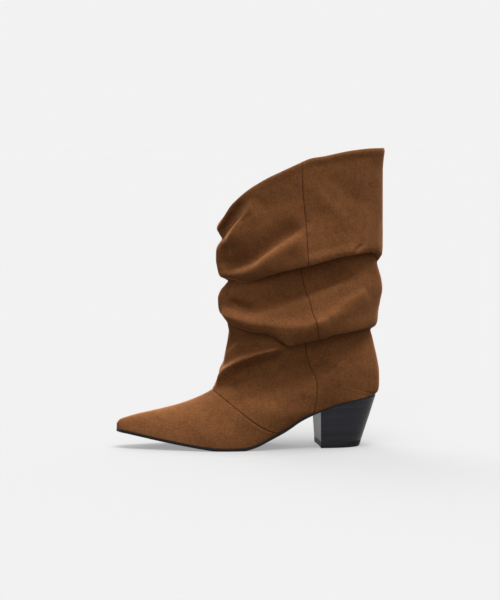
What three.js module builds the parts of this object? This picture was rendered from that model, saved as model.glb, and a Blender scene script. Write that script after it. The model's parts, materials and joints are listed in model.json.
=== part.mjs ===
// Slouch boot, left foot: pointed toe, stacked block heel, wide shaft that has slumped into two rolls.
// Millimetres, +Z up. The toe points along -X, the heel along +X, the outer (lateral) side is -Y.
// The boot stands on z = 0; the origin is the middle of its footprint box.
//
// Pieces: upper (one hollow wall: vamp, front and back shaft panels sewn edge to edge), outsole,
// insole, heel (stacked block) and top_piece (the rubber lift that the heel stands on).
import * as THREE from "three";

// ---------------------------------------------------------------- driving sizes
const WALL = 2.0; // suede plus lining
const GAP = 0.3; // between pieces that touch
const OUTSOLE_PROUD = 0.5; // how far the sole edge stands past the upper
const INSOLE_THICK = 2.4;
const TOP_PIECE_HIGH = 6.0;
const BREAST_X = { bottom: 68.8, top: 68.0 }; // front face of the heel
const BREAST_SKEW = { bottom: 0.9, top: 1.7 }; // how far it comes forward on the inner side
const BREAST_HOLLOW = 0.5; // the front face is very slightly concave
const HEEL_HALF_WIDTH = { bottom: 24.0, top: 28.5 };
const HEEL_BACK_X = { floor: 110.2, bottom: 112.0, top: 126.4 };
const HEEL_ROUND = 2.7; // superellipse power of the heel's plan outline
const ACROSS = 20; // steps from the front line to the back line, each side
const SLANT = (74 * Math.PI) / 180; // angle of the half profile where it meets the feather line on the vamp
const STITCH_DOWN = 0.75; // share of the wall that the bottom edge keeps

// ---------------------------------------------------------------- small helpers
const lerp = (a, b, t) => a + (b - a) * t;
const clamp = (x, a, b) => Math.min(b, Math.max(a, x));
const smooth = (t) => t * t * (3 - 2 * t);

// Named columns and rows into objects.
const rowsOf = (columns, rows) =>
  rows.map((r) => Object.fromEntries(columns.map((c, i) => [c, r[i]])));

// Monotone cubic through (xs, ys): smooth, and never past its own points.
function monotone(xs, ys) {
  const n = xs.length,
    h = [],
    d = [],
    m = [];
  for (let i = 0; i < n - 1; i++) {
    h[i] = xs[i + 1] - xs[i];
    d[i] = (ys[i + 1] - ys[i]) / h[i];
  }
  m[0] = d[0];
  m[n - 1] = d[n - 2];
  for (let i = 1; i < n - 1; i++) {
    if (d[i - 1] * d[i] <= 0) m[i] = 0;
    else {
      const a = 2 * h[i] + h[i - 1],
        b = h[i] + 2 * h[i - 1];
      m[i] = (a + b) / (a / d[i - 1] + b / d[i]);
    }
  }
  return (x) => {
    const q = clamp(x, xs[0], xs[n - 1]);
    let i = 0;
    while (i < n - 2 && q > xs[i + 1]) i++;
    const t = (q - xs[i]) / h[i],
      t2 = t * t,
      t3 = t2 * t;
    return (
      (2 * t3 - 3 * t2 + 1) * ys[i] +
      (t3 - 2 * t2 + t) * h[i] * m[i] +
      (3 * t2 - 2 * t3) * ys[i + 1] +
      (t3 - t2) * h[i] * m[i + 1]
    );
  };
}
const column = (rows, key, name) =>
  monotone(
    rows.map((r) => r[key]),
    rows.map((r) => r[name]),
  );

// ---------------------------------------------------------------- the last's sole line
// One row for each station along the foot: outer and inner edge of the feather line,
// its height, and the height of the outsole's underside. Ball width 79, waist 53, seat 56.
const LAST = rowsOf(
  ["x", "outer", "inner", "feather", "under"],
  [
    [-133.5, 3.6, 6.4, 19.0, 16.3],
    [-132.3, 0.6, 9.2, 18.7, 16.0],
    [-130.0, -2.4, 11.7, 18.4, 15.6],
    [-124.0, -6.6, 15.6, 17.5, 14.7],
    [-111.0, -12.9, 20.8, 15.1, 12.3],
    [-95.5, -19.3, 26.8, 12.1, 9.3],
    [-80.0, -25.5, 31.8, 9.3, 6.5],
    [-64.5, -31.2, 36.2, 6.6, 3.9],
    [-49.0, -36.0, 38.9, 4.4, 1.5],
    [-36.0, -38.8, 39.2, 3.1, 0.0],
    [-22.0, -40.0, 37.5, 2.8, 0.0],
    [-9.5, -39.3, 34.4, 3.1, 0.0],
    [-1.5, -38.2, 32.2, 4.6, 1.7],
    [6.5, -37.0, 29.9, 7.4, 4.5],
    [14.5, -35.6, 27.6, 11.3, 8.5],
    [22.5, -34.0, 25.6, 15.3, 12.4],
    [31.0, -32.3, 24.3, 19.7, 16.6],
    [39.0, -31.0, 23.7, 24.5, 21.5],
    [47.0, -30.0, 23.5, 29.5, 26.8],
    [55.0, -29.2, 23.8, 33.1, 31.0],
    [67.5, -29.1, 25.6, 38.0, 36.5],
    [83.0, -29.0, 27.7, 43.7, 42.3],
    [99.0, -27.8, 27.8, 47.5, 46.1],
    [108.0, -25.4, 25.4, 49.2, 47.8],
    [117.0, -19.8, 19.8, 50.7, 49.3],
    [123.5, -11.6, 11.6, 51.6, 50.2],
    [126.5, -2.0, 2.0, 52.0, 50.6],
  ],
);
const outerY = column(LAST, "x", "outer");
const innerY = column(LAST, "x", "inner");
const featherZ = column(LAST, "x", "feather");
const underZ = column(LAST, "x", "under");
const TOE_X = LAST[0].x;
const SEAT_X = LAST[LAST.length - 1].x;

// ---------------------------------------------------------------- the slouch folds
// Eleven places across a side, from the front line (0) to the back line (1).
const AT = [0, 0.08, 0.2, 0.3, 0.4, 0.5, 0.62, 0.75, 0.88, 0.95, 1];
// Height of each fold's lower lip and of the collar along those places.
const LINES = {
  collar: {
    outer: [222.4, 243.9, 260.9, 270.5, 278.3, 286.0, 290.2, 294.6, 297.2, 297.7, 297.8],
    inner: [222.4, 236.2, 253.2, 263.0, 270.8, 279.0, 285.2, 290.6, 294.8, 296.4, 297.8],
  },
  upperFold: {
    outer: [168.3, 168.3, 174.2, 178.6, 181.8, 184.8, 189.4, 193.8, 196.6, 196.0, 188.8],
    inner: [168.3, 172.0, 178.5, 183.5, 187.0, 189.0, 190.5, 191.4, 191.4, 190.6, 188.8],
  },
  lowerFold: {
    outer: [129.6, 127.0, 121.4, 118.2, 105.6, 109.8, 115.7, 118.2, 120.4, 121.4, 121.5],
    inner: [129.6, 127.0, 121.0, 115.5, 111.5, 110.5, 112.0, 115.5, 119.0, 120.6, 121.5],
  },
};
// How far each roll stands out above its lip, and how far the leather tucks in below it.
const RELIEF = {
  upperFold: {
    outer: {
      roll: [0.0, 1.3, 5.0, 6.8, 7.4, 7.4, 6.8, 6.3, 5.4, 3.4, 0.0],
      tuck: [0.0, 1.1, 3.0, 3.7, 4.1, 4.1, 3.9, 3.4, 2.6, 1.7, 0.0],
    },
    inner: {
      roll: [0.0, 3.1, 5.6, 6.5, 6.3, 5.8, 5.6, 5.8, 4.3, 2.7, 0.0],
      tuck: [0.0, 1.3, 2.5, 3.1, 3.2, 3.1, 2.9, 2.5, 1.8, 1.1, 0.0],
    },
  },
  lowerFold: {
    outer: {
      roll: [0.0, 4.0, 5.4, 4.0, 2.7, 5.0, 6.7, 6.5, 5.2, 3.2, 0.0],
      tuck: [0.0, 2.4, 3.5, 3.0, 2.4, 3.9, 4.5, 4.2, 3.1, 1.9, 0.0],
    },
    inner: {
      roll: [0.0, 3.1, 4.9, 5.4, 4.9, 4.5, 5.0, 5.4, 4.1, 2.5, 0.0],
      tuck: [0.0, 1.7, 2.6, 2.8, 2.5, 2.4, 2.6, 2.8, 1.9, 1.1, 0.0],
    },
  },
};
const across = (values) => monotone(AT, values);
const SIDES = ["outer", "inner"];
const line = {},
  roll = {},
  tuck = {};
for (const side of SIDES) {
  line[side] = {};
  roll[side] = {};
  tuck[side] = {};
  for (const name of Object.keys(LINES)) {
    const v = LINES[name][side];
    // Kept as the height over the straight chord, so that it can be blended between sections.
    line[side][name] = across(v.map((z, i) => z - lerp(v[0], v[v.length - 1], AT[i])));
  }
  for (const name of Object.keys(RELIEF)) {
    roll[side][name] = across(RELIEF[name][side].roll);
    tuck[side][name] = across(RELIEF[name][side].tuck);
  }
}

// ---------------------------------------------------------------- sections of the upper
// Each section is a slice that fans from upright at the toe to level on the shaft. It runs from the
// front line (dx, dz) to the back line (bx, bz); bz null means that it ends on the feather line.
// half, rear: half width at the front and at the back. front, back: how blunt each end is (under 1 blunt,
// over 1 pointed). yd: sideways place of the front line. low, up, top: share of each fold's line that it
// follows. rLow, rUp: share of each fold's relief, negative below the lip. sag: how far the slice bows down
// below straight. slope: 1 where the sides come down to the feather line at a slant, 0 where they bulge out
// above it. steps: slices up to the next row.
const SECTIONS = rowsOf(
  ["dx", "dz", "bx", "bz", "half", "rear", "front", "back", "yd", "low", "up", "top", "rLow", "rUp", "sag", "slope", "steps"],
  [
    [-133.5, 24.2, -133.5, null, 1.4, 1.4, 1, 1, 5, 0, 0, 0, 0, 0, 0, 1, 1],
    [-132.4, 25.9, -132.3, null, 4.4, 4.4, 0.95, 1, 5, 0, 0, 0, 0, 0, 0, 1, 1],
    [-129.8, 28.4, -129.6, null, 7.5, 7.5, 0.92, 1, 4.9, 0, 0, 0, 0, 0, 0, 1, 1],
    [-124, 30.4, -124, null, 11.3, 11.3, 0.9, 1, 4.7, 0, 0, 0, 0, 0, 0, 1, 1],
    [-114, 33.3, -115, null, 15.6, 15.6, 0.9, 1, 4.2, 0, 0, 0, 0, 0, 0, 1, 1],
    [-101, 36.1, -102, null, 21.2, 21.2, 0.92, 1, 3.8, 0, 0, 0, 0, 0, 0, 1, 1],
    [-86, 39.5, -87, null, 27, 27, 0.96, 1, 3.4, 0, 0, 0, 0, 0, 0, 1, 1],
    [-71, 43.3, -72, null, 32.2, 32.2, 1, 1, 3, 0, 0, 0, 0, 0, 0, 1, 2],
    [-57.5, 48, -50, null, 37.8, 37.8, 1.04, 1, 2.6, 0, 0, 0, 0, 0, 0, 0.8, 2],
    [-46.5, 52.8, -18, null, 39.4, 39.4, 1.06, 1, 2.2, 0, 0, 0, 0, 0, 2, 0.4, 2],
    [-38.2, 57.7, 25, null, 38.4, 38, 1.04, 1, 2, 0, 0, 0, 0, 0, 5, 0.1, 2],
    [-33.4, 67, 48, null, 37.4, 36, 1, 1, 1.6, 0, 0, 0, 0, 0, 3.6, 0, 2],
    [-29.6, 76, 71, null, 36.4, 31.5, 1, 0.5, 1.2, 0, 0, 0, 0, 0, 2.2, 0, 2],
    [-26.9, 84, 92, null, 35.8, 32.5, 1, 0.54, 0.8, 0, 0, 0, 0, 0, 1, 0, 2],
    [-25.6, 91.5, 108, null, 35.4, 33.5, 1, 0.6, 0.4, 0, 0, 0, 0, 0, 0, 0, 3],
    [-24.5, 97.5, 119, null, 35, 34.4, 1, 0.68, 0.2, 0, 0, 0, 0, 0, 0, 0, 3],
    [-23.6, 102, 126.5, null, 34.8, 34.9, 1, 0.83, 0, 0, 0, 0, 0, 0, 0, 0, 1],
    [-22.7, 106.5, 129.7, 55.8, 34.6, 35.1, 1, 0.98, 0, 0.1, 0, 0, 0, 0, 0, 0, 1],
    [-22, 111, 130.7, 63, 34.6, 35.1, 1, 0.97, 0, 0.25, 0, 0, -0.03, 0, 0, 0, 1],
    [-21.5, 115.5, 130.5, 74, 34.8, 34.9, 1, 0.9, 0, 0.45, 0, 0, -0.1, 0, 0, 0, 1],
    [-21.2, 119.5, 128.8, 85.6, 35.2, 34.4, 1, 0.9, 0, 0.62, 0, 0, -0.26, 0, 0, 0, 1],
    [-21.1, 123, 126.2, 97.5, 35.6, 34.2, 1, 0.92, 0, 0.78, 0, 0, -0.5, 0, 0, 0, 1],
    [-21.1, 127, 123.5, 109, 36, 34.4, 1, 0.96, 0, 0.9, 0, 0, -0.8, 0, 0, 0, 2],
    [-21.1, 128, 121.7, 116.4, 36.2, 34.8, 1, 1, 0, 1, 0, 0, -1, 0, 0, 0, 2],
    [-24.2, 131, 126.6, 120.8, 36.2, 36.2, 1, 1, 0, 1, 0, 0, 0.85, 0, 0, 0, 1],
    [-29.6, 133.8, 128.8, 126, 36.4, 36.4, 1, 1.04, 0, 0.86, 0.06, 0, 1.12, 0, 0, 0, 1],
    [-31.8, 140.5, 129.6, 135, 36.6, 36.6, 1, 1.1, 0, 0.62, 0.18, 0, 1, 0, 0, 0, 1],
    [-32.2, 149, 131.8, 147, 36.8, 36.8, 1, 1.14, 0, 0.4, 0.36, 0, 0.6, -0.1, 0, 0, 1],
    [-29.4, 157, 133.7, 158, 36.8, 36.8, 1, 1.16, 0, 0.22, 0.56, 0, 0.25, -0.3, 0, 0, 1],
    [-24.8, 162.4, 132.6, 167, 36.6, 36.6, 1, 1.16, 0, 0.08, 0.8, 0, 0, -0.7, 0, 0, 2],
    [-22.1, 166, 128.2, 183.6, 36.4, 36.4, 1, 1.16, 0, 0, 1, 0, 0, -1, 0, 0, 2],
    [-25.2, 168.4, 130.8, 188.2, 36.8, 36.8, 1, 1.18, 0, 0, 1, 0, 0, 0.85, 0, 0, 1],
    [-30.4, 171.2, 133.2, 192.6, 36.8, 36.8, 1, 1.2, 0, 0, 0.92, 0.05, 0, 1.12, 0, 0, 1],
    [-32.9, 179.4, 133.9, 201, 36.9, 36.9, 1, 1.22, 0, 0, 0.78, 0.14, 0, 1, 0, 0, 1],
    [-34.2, 188.2, 133.9, 213, 37.2, 37.2, 1, 1.25, 0, 0, 0.58, 0.3, 0, 0.7, 0, 0, 1],
    [-34, 196.4, 133.8, 228, 37.5, 37.5, 1, 1.3, 0, 0, 0.38, 0.48, 0, 0.35, 0, 0, 1],
    [-31.8, 202.6, 133.8, 244, 37.8, 37.8, 1, 1.34, 0, 0, 0.22, 0.64, 0, 0.12, 0, 0, 1],
    [-28.2, 208.2, 133.7, 260, 38.1, 38.1, 1, 1.36, 0, 0, 0.1, 0.78, 0, 0, 0, 0, 1],
    [-31, 213.6, 133.7, 275, 38.4, 38.4, 1, 1.36, 0, 0, 0, 0.9, 0, 0, 0, 0, 1],
    [-32.9, 218.4, 134.6, 289, 38.6, 38.6, 1, 1.34, 0, 0, 0, 0.98, 0, 0, 0, 0, 1],
    [-32.6, 222.4, 135.4, 297.8, 38.8, 38.8, 1, 1.32, 0, 0, 0, 1, 0, 0, 0, 0, 0],
  ],
);
const HEEL_ROW = 16; // the last section that ends on the feather line, at the back of the heel

// Soft ridges (high above 0) and troughs (below 0) over a side, through four points (x, z) from front to back.
// up, down: how far each spreads above and below its line.
const CREASES = rowsOf(
  ["side", "x0", "z0", "x1", "z1", "x2", "z2", "x3", "z3", "high", "up", "down"],
  [
    ["outer", -27, 203, -16, 220, -7.5, 235, -2, 252, 3.0, 6, 12],
    ["outer", -34, 208, -26, 222, -17, 236, -11, 250, -2.4, 6, 6],
    ["outer", 50, 274, 62, 256, 78, 240, 104, 218, 1.4, 8, 10],
    ["outer", -36, 178, -7, 184.5, 12, 198.5, 50, 223.5, -5.0, 12, 6],
    ["outer", -28, 173, -1, 179.5, 19, 194, 52, 216.5, 3.8, 6, 13],
    ["outer", -58, 150, -7, 139, 34, 150, 110, 177, -4.8, 15, 6.5],
    ["outer", -36, 130, 8, 124.5, 44, 122, 76, 131, 4.6, 7.5, 16],
    ["outer", 56, 123, 76, 133, 95, 147, 118, 158, 2.4, 6, 13],
    ["outer", -31, 60, -19, 79, -4, 91, 30, 102.5, 4.2, 6, 6],
    ["outer", -32, 88, -18, 102, 2, 109, 24, 113, -2.8, 7, 6],
    ["outer", -37, 56, -23, 71, -3, 82, 34, 93, -3.2, 6, 10],
    ["outer", -36, 46, 4, 57, 44, 70, 86, 89, -7.0, 25, 15],
    ["inner", -26, 206, -18, 222, -8, 236, 2, 248, -3.2, 7, 6],
    ["inner", -30, 186, 0, 187, 34, 203, 70, 226, -3.0, 16, 7],
    ["inner", -32, 176, 6, 179, 40, 193, 76, 210, 2.6, 6, 12],
    ["inner", -28, 150, 12, 139, 52, 144, 108, 166, -3.0, 16, 7],
    ["inner", -32, 141, 14, 129, 60, 130, 112, 150, 2.4, 7, 12],
    ["inner", -34, 69, -20, 82, 4, 93, 38, 101, 2.8, 7.5, 6],
    ["inner", -24, 87, -6, 98, 12, 104, 30, 107, -2.6, 9, 6],
    ["inner", -28, 66, -8, 80, 12, 87, 36, 92, -1.8, 6, 12],
  ],
);

// Distance from (x, z) to a crease, how far along it the nearest point is, and 1 above to -1 below the line.
function nearest(c, x, z) {
  let best = [1e9, 0, 1];
  const p = [
    [c.x0, c.z0],
    [c.x1, c.z1],
    [c.x2, c.z2],
    [c.x3, c.z3],
  ];
  for (let i = 0; i < 3; i++) {
    const ax = p[i][0],
      az = p[i][1],
      ux = p[i + 1][0] - ax,
      uz = p[i + 1][1] - az;
    const t = clamp(((x - ax) * ux + (z - az) * uz) / (ux * ux + uz * uz), 0, 1);
    const d = Math.hypot(x - ax - t * ux, z - az - t * uz);
    const above = (ux * (z - az) - uz * (x - ax)) / Math.hypot(ux, uz) / Math.max(d, 1e-6);
    if (d < best[0]) best = [d, (i + t) / 3, above];
  }
  return best;
}
function creaseAt(side, x, z) {
  let sum = 0;
  for (const c of CREASES) {
    if (c.side !== side) continue;
    const [d, along, above] = nearest(c, x, z);
    const wide = lerp(c.down, c.up, (1 + clamp(above, -1, 1)) / 2);
    sum += c.high * Math.exp(-((d / wide) ** 2)) * (0.12 + 0.88 * Math.sin(Math.PI * clamp(along, 0.02, 0.98)) ** 0.7);
  }
  return sum;
}

// A section at row number q, whole or between rows.
const KEYS = Object.keys(SECTIONS[0]).filter((k) => k !== "steps");
for (const s of SECTIONS) if (s.bz === null) s.bz = featherZ(s.bx) + GAP;
const index = SECTIONS.map((_, i) => i);
const sectionCurve = Object.fromEntries(
  KEYS.map((k) => [k, monotone(index, SECTIONS.map((s) => s[k]))]),
);
function sectionAt(q) {
  const s = Object.fromEntries(KEYS.map((k) => [k, sectionCurve[k](q)]));
  s.onFeather = q <= HEEL_ROW + 1e-9;
  if (s.onFeather) s.bz = featherZ(s.bx) + GAP;
  return s;
}

// A point on the outer face: side "outer" or "inner", share 0 on the front line to 1 on the back line.
function upperPoint(side, q, share) {
  const s = sectionAt(q);
  const sign = side === "outer" ? -1 : 1;
  const out = s.onFeather ? outerY(s.bx) : 0,
    inn = s.onFeather ? innerY(s.bx) : 0;
  const endHalf = q >= HEEL_ROW - 1e-9 ? 0 : (inn - out) / 2;
  const yEnd = q >= HEEL_ROW - 1e-9 ? 0 : (inn + out) / 2;
  const ratio = clamp(endHalf / s.rear, 0, 0.999);
  const last = lerp(Math.PI - Math.asin(Math.pow(ratio, 1 / s.back)), SLANT, s.slope);
  const rear = q >= HEEL_ROW - 1e-9 ? s.rear : endHalf / Math.pow(Math.sin(last), s.back);
  const angle = share * last;
  const t = (1 - Math.cos(angle)) / (1 - Math.cos(last));
  const power = lerp(s.front, s.back, t);
  let half = lerp(s.half, rear, smooth(t)) * Math.pow(Math.max(0, Math.sin(angle)), power);
  if (share === 1) half = endHalf;
  let x = lerp(s.dx, s.bx, t),
    z = lerp(s.dz, s.bz, t);
  z += s.low * line[side].lowerFold(t) + s.up * line[side].upperFold(t) + s.top * line[side].collar(t);
  z -= s.sag * 7 * Math.pow(t, 2.1) * (1 - t);
  const fade = smooth(clamp(Math.sin(angle) / 0.55, 0, 1));
  let lift = 0;
  lift += s.rLow > 0 ? s.rLow * roll[side].lowerFold(t) : s.rLow * tuck[side].lowerFold(t);
  lift += s.rUp > 0 ? s.rUp * roll[side].upperFold(t) : s.rUp * tuck[side].upperFold(t);
  const nearSole = s.onFeather ? clamp((1 - share) * 4, 0, 1) : 1;
  lift += creaseAt(side, x, z) * fade * nearSole;
  const y = lerp(s.yd, yEnd, smooth(t));
  return new THREE.Vector3(x, y + sign * (half + lift), z);
}

// ---------------------------------------------------------------- meshes from grids
function geometryOf(points, faces) {
  const g = new THREE.BufferGeometry();
  g.setAttribute("position", new THREE.Float32BufferAttribute(points.flatMap((p) => [p.x, p.y, p.z]), 3));
  g.setIndex(faces.flat());
  g.computeVertexNormals();
  return g;
}
// Closed solid through loops of equal count, with a fan over each end.
function loft(loops) {
  const n = loops[0].length,
    points = loops.flat(),
    faces = [];
  for (let i = 0; i < loops.length - 1; i++)
    for (let j = 0; j < n; j++) {
      const a = i * n + j,
        b = i * n + ((j + 1) % n),
        c = a + n,
        d = b + n;
      faces.push([a, b, d], [a, d, c]);
    }
  const cap = (start, flip) => {
    const centre = new THREE.Vector3();
    for (let j = 0; j < n; j++) centre.addScaledVector(points[start + j], 1 / n);
    const k = points.push(centre) - 1;
    for (let j = 0; j < n; j++) {
      const a = start + j,
        b = start + ((j + 1) % n);
      faces.push(flip ? [k, b, a] : [k, a, b]);
    }
  };
  cap(0, true);
  cap((loops.length - 1) * n, false);
  return geometryOf(points, faces);
}

// The upper: outer face, inner face one wall inside it, and the two edges between them.
function upperGeometry() {
  const rows = [];
  SECTIONS.forEach((s, i) => {
    for (let k = 0; k < s.steps; k++) rows.push(i + k / s.steps);
  });
  rows.push(SECTIONS.length - 1);
  const points = [],
    outerId = { outer: [], inner: [] };
  rows.forEach((q, i) => {
    for (const side of SIDES) {
      outerId[side][i] = [];
      for (let j = 0; j <= ACROSS; j++) {
        const shared = side === "inner" && (j === 0 || (j === ACROSS && q > HEEL_ROW - 1e-9));
        if (shared) outerId[side][i][j] = outerId.outer[i][j];
        else outerId[side][i][j] = points.push(upperPoint(side, q, j / ACROSS)) - 1;
      }
    }
  });
  const faces = [];
  const quad = (a, b, c, d) => {
    if (a !== b && b !== c && a !== c) faces.push([a, b, c]);
    if (a !== c && c !== d && a !== d) faces.push([a, c, d]);
  };
  for (let i = 0; i < rows.length - 1; i++)
    for (let j = 0; j < ACROSS; j++) {
      const o = outerId.outer,
        n = outerId.inner;
      quad(o[i][j], o[i][j + 1], o[i + 1][j + 1], o[i + 1][j]);
      quad(n[i][j], n[i + 1][j], n[i + 1][j + 1], n[i][j + 1]);
    }
  // The toe's front edge closes over the tip.
  for (let j = 0; j < ACROSS; j++)
    quad(outerId.outer[0][j], outerId.inner[0][j], outerId.inner[0][j + 1], outerId.outer[0][j + 1]);

  // Smoothed normals carry the inner face, so that folds can't make it cross itself.
  const count = points.length;
  let normals = Array.from({ length: count }, () => new THREE.Vector3());
  const near = Array.from({ length: count }, () => new Set());
  for (const [a, b, c] of faces) {
    const n = new THREE.Vector3()
      .subVectors(points[b], points[a])
      .cross(new THREE.Vector3().subVectors(points[c], points[a]));
    for (const k of [a, b, c]) normals[k].add(n);
    near[a].add(b).add(c);
    near[b].add(a).add(c);
    near[c].add(a).add(b);
  }
  normals.forEach((n) => n.normalize());
  for (let pass = 0; pass < 8; pass++)
    normals = normals.map((n, k) => {
      const m = n.clone().multiplyScalar(1.5);
      for (const o of near[k]) m.addScaledVector(normals[o], 1 / near[k].size);
      return m.normalize();
    });
  const base = count;
  const edge = new Set();
  rows.forEach((q, i) => {
    if (q <= HEEL_ROW + 1e-9) for (const side of SIDES) edge.add(outerId[side][i][ACROSS]);
  });
  for (let k = 0; k < count; k++) {
    const n = normals[k].clone();
    let wall = WALL;
    if (edge.has(k)) {
      n.z = 0;
      n.normalize();
      wall *= STITCH_DOWN;
    }
    points.push(points[k].clone().addScaledVector(n, -wall));
  }
  const outerFaces = faces.slice();
  for (const [a, b, c] of outerFaces) faces.push([base + a, base + c, base + b]);
  // Bottom edge along the feather line: down the outer side, round the heel, up the inner side.
  const heel = rows.findIndex((q) => Math.abs(q - HEEL_ROW) < 1e-9);
  const ring = [];
  for (let i = 0; i <= heel; i++) ring.push(outerId.outer[i][ACROSS]);
  for (let i = heel - 1; i >= 0; i--) ring.push(outerId.inner[i][ACROSS]);
  ring.forEach((a, i) => {
    const b = ring[(i + 1) % ring.length];
    faces.push([a, base + a, base + b], [a, base + b, b]);
  });
  // Collar edge.
  const topRow = rows.length - 1,
    collar = [];
  for (let j = 0; j <= ACROSS; j++) collar.push(outerId.outer[topRow][j]);
  for (let j = ACROSS - 1; j >= 1; j--) collar.push(outerId.inner[topRow][j]);
  collar.forEach((a, i) => {
    const b = collar[(i + 1) % collar.length];
    faces.push([a, b, base + b], [a, base + b, base + a]);
  });
  return geometryOf(points, faces);
}

// Stations along the sole, closer together at the toe, the ball and the heel.
const STATIONS = [...LAST.keys()]
  .slice(0, -1)
  .flatMap((i) => [LAST[i].x, (LAST[i].x + LAST[i + 1].x) / 2])
  .concat(SEAT_X);

// The outsole: full length, arched, with the edge eased underneath.
function outsoleGeometry() {
  const loops = STATIONS.map((x) => {
    const grow = OUTSOLE_PROUD,
      ease = 0.8;
    const xx = x === TOE_X ? x - grow : x === SEAT_X ? x + grow : x;
    const o = outerY(x) - grow,
      n = innerY(x) + grow,
      top = featherZ(x),
      low = underZ(x),
      narrow = Math.min(ease * 1.2, (n - o) * 0.2);
    return [
      [o, top],
      [o, low + ease],
      [o + narrow, low],
      [n - narrow, low],
      [n, low + ease],
      [n, top],
    ].map(([y, z]) => new THREE.Vector3(xx, y, z));
  });
  return loft(loops);
}

// The insole lies inside the wall, on the outsole.
function insoleGeometry() {
  const inset = WALL + 0.9;
  const first = TOE_X + 7.5,
    end = SEAT_X - inset - 0.8;
  const xs = [first, ...STATIONS.filter((x) => x > first + 2 && x < end - 1), end];
  const loops = xs.map((x) => {
    // Round the heel the inset turns from sideways to lengthways, so the gap stays even.
    const turn = clamp((x - 96) / 24, 0, 1);
    const ahead = x + inset * turn,
      narrow = 1.3 * clamp((-100 - x) / 20, 0, 1), // the vamp's sides lean in at the toe
      in_ = inset * Math.sqrt(1 - turn * turn) + 1.0 * turn + narrow;
    const o = outerY(ahead) + in_,
      n = innerY(ahead) - in_,
      z = featherZ(x) + GAP,
      mid = (o + n) / 2,
      half = Math.max(1.2, (n - o) / 2);
    return [
      [mid - half, z + INSOLE_THICK],
      [mid - half, z],
      [mid + half, z],
      [mid + half, z + INSOLE_THICK],
    ].map(([y, zz]) => new THREE.Vector3(x, y, zz));
  });
  return loft(loops);
}

// Plan outline of the heel at a level: breast corner, round the back, breast corner, hollow breast.
function heelLoop(level, z) {
  const SIDE_STEPS = 12;
  const front = lerp(BREAST_X.bottom, BREAST_X.top, level);
  const wide = lerp(HEEL_HALF_WIDTH.bottom, HEEL_HALF_WIDTH.top, level);
  const back = lerp(HEEL_BACK_X.bottom, HEEL_BACK_X.top, level);
  const loop = [];
  for (let k = -SIDE_STEPS; k <= SIDE_STEPS; k++) {
    const a = ((1 - Math.abs(k) / SIDE_STEPS) * Math.PI) / 2;
    // k = -SIDE_STEPS is the outer breast corner, 0 the back, SIDE_STEPS the inner corner
    const u = Math.pow(Math.sin(a), 2 / HEEL_ROUND),
      w = Math.pow(Math.cos(a), 2 / HEEL_ROUND);
    loop.push([front + (back - front) * u, Math.sign(k) * wide * w]);
  }
  for (const f of [0.5, 0, -0.5]) loop.push([front + BREAST_HOLLOW * (1 - f * f), f * wide * 1.1]);
  const skew = lerp(BREAST_SKEW.bottom, BREAST_SKEW.top, level);
  return loop.map(([across, y]) => {
    const x = across - ((skew * (y / wide + 1)) / 2) * clamp((back - across) / (back - front), 0, 1);
    return new THREE.Vector3(x, y, typeof z === "function" ? z(x) : z);
  });
}
function heelGeometry() {
  const bottom = TOP_PIECE_HIGH + GAP;
  const loops = [0, 0.25, 0.5, 0.75, 1].map((h) => heelLoop(h, (x) => lerp(bottom, underZ(x) - GAP, h)));
  return loft(loops);
}
function topPieceGeometry() {
  const under = heelLoop(0, 0).map((p) => {
    const back = HEEL_BACK_X.bottom - HEEL_BACK_X.floor,
      share = smooth(clamp((p.x - BREAST_X.bottom) / (HEEL_BACK_X.bottom - BREAST_X.bottom), 0, 1));
    return new THREE.Vector3(p.x - back * share, p.y * lerp(1, 0.96, share), 0);
  });
  const eased = heelLoop(0, 1.6).map((p) => new THREE.Vector3(p.x - 0.25 * clamp((p.x - 100) / 12, 0, 1), p.y, p.z));
  return loft([under, eased, heelLoop(0, TOP_PIECE_HIGH)]);
}

// ---------------------------------------------------------------- the assembly
const suede = new THREE.MeshStandardMaterial({ color: 0x6f4526, roughness: 0.95, metalness: 0 });
const soleRubber = new THREE.MeshStandardMaterial({ color: 0x161617, roughness: 0.5, metalness: 0 });
const stackedHeel = new THREE.MeshStandardMaterial({ color: 0x2a2a2d, roughness: 0.42, metalness: 0 });
const liftRubber = new THREE.MeshStandardMaterial({ color: 0x18181a, roughness: 0.7, metalness: 0 });
const sock = new THREE.MeshStandardMaterial({ color: 0xb08a63, roughness: 0.7, metalness: 0 });

const boot = new THREE.Group();
const add = (name, geometry, material) => {
  const mesh = new THREE.Mesh(geometry, material);
  mesh.name = name;
  boot.add(mesh);
};
add("upper", upperGeometry(), suede);
add("outsole", outsoleGeometry(), soleRubber);
add("insole", insoleGeometry(), sock);
add("heel", heelGeometry(), stackedHeel);
add("top_piece", topPieceGeometry(), liftRubber);

export default boot;
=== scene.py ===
import json
import math

import bmesh
import bpy
import numpy as np
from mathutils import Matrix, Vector, noise

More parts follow.
